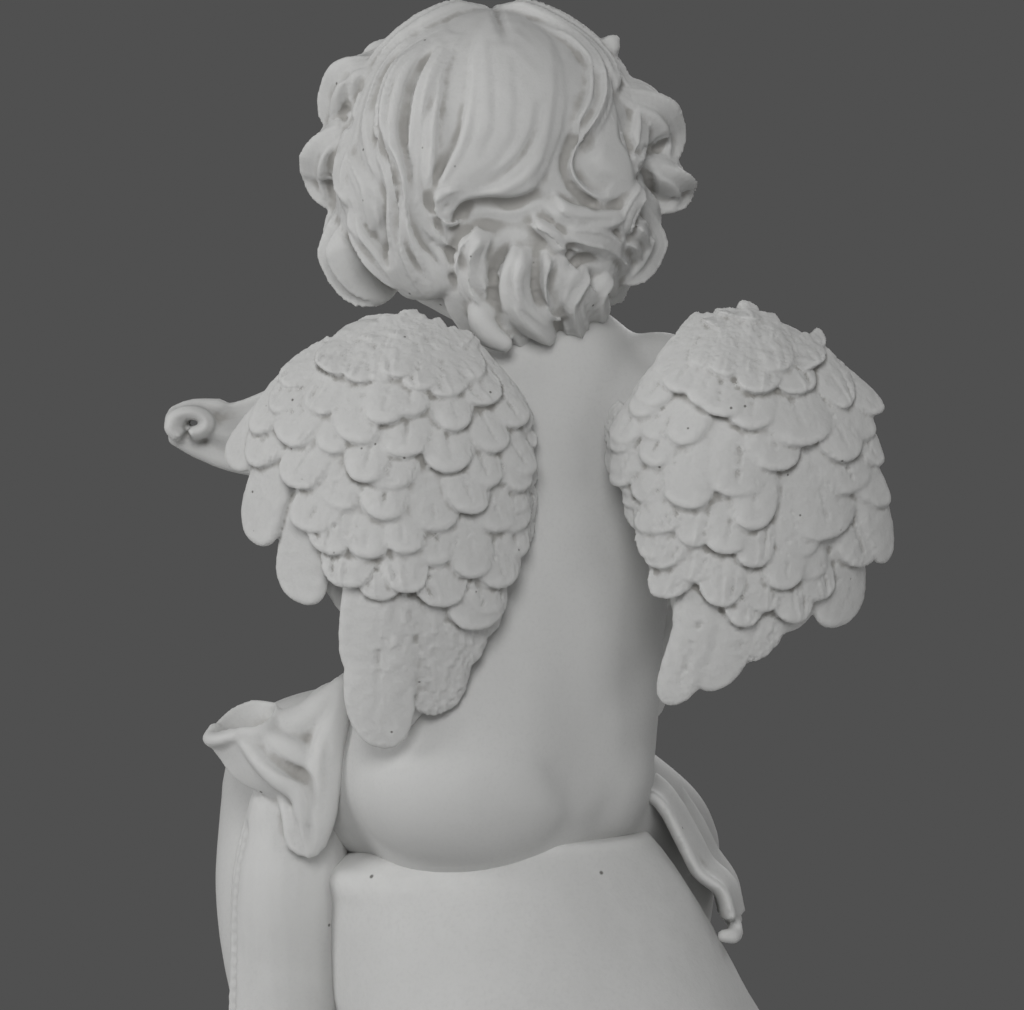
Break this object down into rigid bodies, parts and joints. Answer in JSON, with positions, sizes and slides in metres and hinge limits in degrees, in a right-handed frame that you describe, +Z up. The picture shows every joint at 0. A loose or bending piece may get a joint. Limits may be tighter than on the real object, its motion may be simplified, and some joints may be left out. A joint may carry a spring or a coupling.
{
  "type": "angel garden statue",
  "caption": "Winged child figure sitting on a rounded rock with a low oval base, cast in one piece to stand on a garden wall, step or table.",
  "frame": {"origin": "on the underside of the base, below the figure's seat", "axes": "+Z up; the figure's chest faces -Y and its wings face +Y; +X is the figure's left"},
  "size_m": [0.2352, 0.2233, 0.4057],
  "materials": {
    "white_cast_stone": "matte white cast stone, rubbed smooth on the skin, with fine pinholes and dirt left in the carving"
  },
  "bodies": {
    "root": {"angel_statue": "white_cast_stone"}
  },
  "joints": []
}
